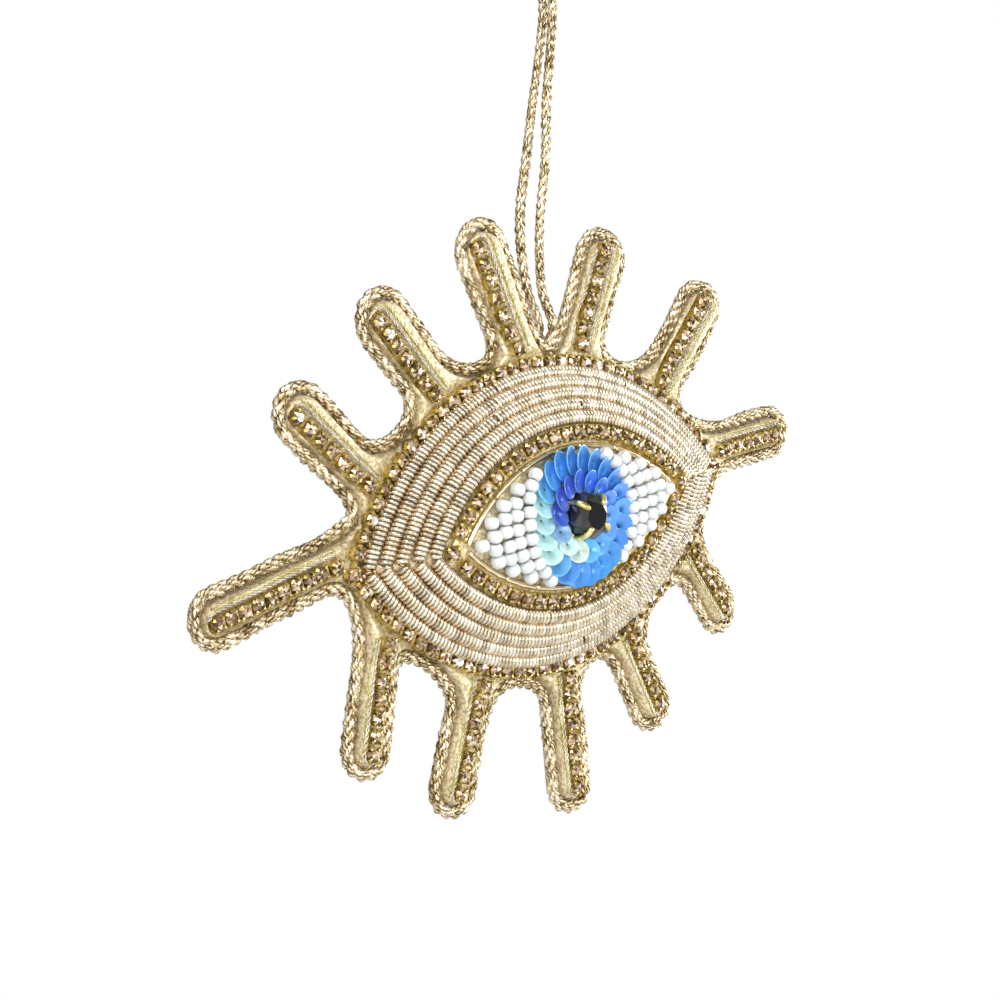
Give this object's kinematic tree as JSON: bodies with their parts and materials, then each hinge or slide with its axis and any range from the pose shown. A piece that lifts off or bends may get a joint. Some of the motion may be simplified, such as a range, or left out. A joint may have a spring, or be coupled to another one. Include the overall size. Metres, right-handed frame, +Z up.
{
  "type": "beaded eye hanging ornament",
  "caption": "Padded, embroidered eye to hang up: metal-thread dome, crystal chains, beaded white, sequin iris, faceted pupil and stone-set lashes on a looped twisted cord",
  "frame": {"origin": "The hook point: the inside of the cord's bend at the top of the loop, where the hook carries it.", "axes": "+Z up, +Y from the eye's face towards its back, +X to the right of someone facing the eye."},
  "size_m": [0.1122, 0.0187, 0.1377],
  "materials": {
    "lame_cloth": "pale gold metallic cloth on felt",
    "suede_back": "plain matt suede, a guess",
    "stuffing": "felt and wadding, unseen",
    "gold_cord": "twisted metallic yarn",
    "crystal": "foiled champagne crystal in gilt cups",
    "purl_wire": "bright pale gold coiled wire",
    "tube_bead": "polished",
    "white_bead": "opaque gloss white",
    "sequin_outer": "iridescent blue",
    "sequin_inner": "iridescent violet blue",
    "black_stone": "opaque black, faceted",
    "gilt": "polished"
  },
  "bodies": {
    "cord_top": {"cord_loop": "gold_cord"},
    "cord_throat": {"cord_throat_left": "gold_cord", "cord_throat_right": "gold_cord"},
    "cord_neck": {"cord_neck_left": "gold_cord", "cord_neck_right": "gold_cord"},
    "cord_strands": {"cord_strand_left": "gold_cord", "cord_strand_right": "gold_cord"},
    "eye": {"back_panel": "suede_back", "padding": "stuffing", "front_panel": "lame_cloth", "edge_cord": "gold_cord", "lash_stones_right_corner": "crystal", "lash_stones_upper_right_outer": "crystal", "lash_stones_upper_right_inner": "crystal", "lash_stones_top_middle": "crystal", "lash_stones_upper_left_inner": "crystal", "lash_stones_upper_left_outer": "crystal", "lash_stones_left_corner": "crystal", "lash_stones_lower_left_outer": "crystal", "lash_stones_lower_left_inner": "crystal", "lash_stones_bottom_middle": "crystal", "lash_stones_lower_right_inner": "crystal", "lash_stones_lower_right_outer": "crystal", "outer_stone_chain": "crystal", "inner_stone_chain": "crystal", "purl_row_1": "purl_wire", "purl_row_2": "purl_wire", "purl_row_3": "purl_wire", "purl_row_4": "purl_wire", "purl_row_5": "purl_wire", "tube_bead_line": "tube_bead", "white_beads_left": "white_bead", "white_beads_right": "white_bead", "sequin_ring_outer": "sequin_outer", "sequin_ring_inner": "sequin_inner", "pupil_stone": "black_stone", "pupil_setting": "gilt"}
  },
  "joints": [
    {"name": "front_swing", "type": "hinge", "parent": "cord_top", "child": "cord_throat", "pos_m": [0, 0, -0.013], "axis": [1, 0, 0], "range_deg": [-35, 35]},
    {"name": "side_swing", "type": "hinge", "parent": "cord_throat", "child": "cord_neck", "pos_m": [0, 0, -0.017], "axis": [0, 1, 0], "range_deg": [-35, 35]},
    {"name": "spin", "type": "hinge", "parent": "cord_neck", "child": "cord_strands", "pos_m": [0, 0, -0.021], "axis": [0, 0, 1], "range_deg": [-180, 180]},
    {"name": "tip", "type": "hinge", "parent": "cord_strands", "child": "eye", "pos_m": [0, 0, -0.07], "axis": [0.9874, -0.0157, 0.1574], "range_deg": [-45, 45]}
  ]
}
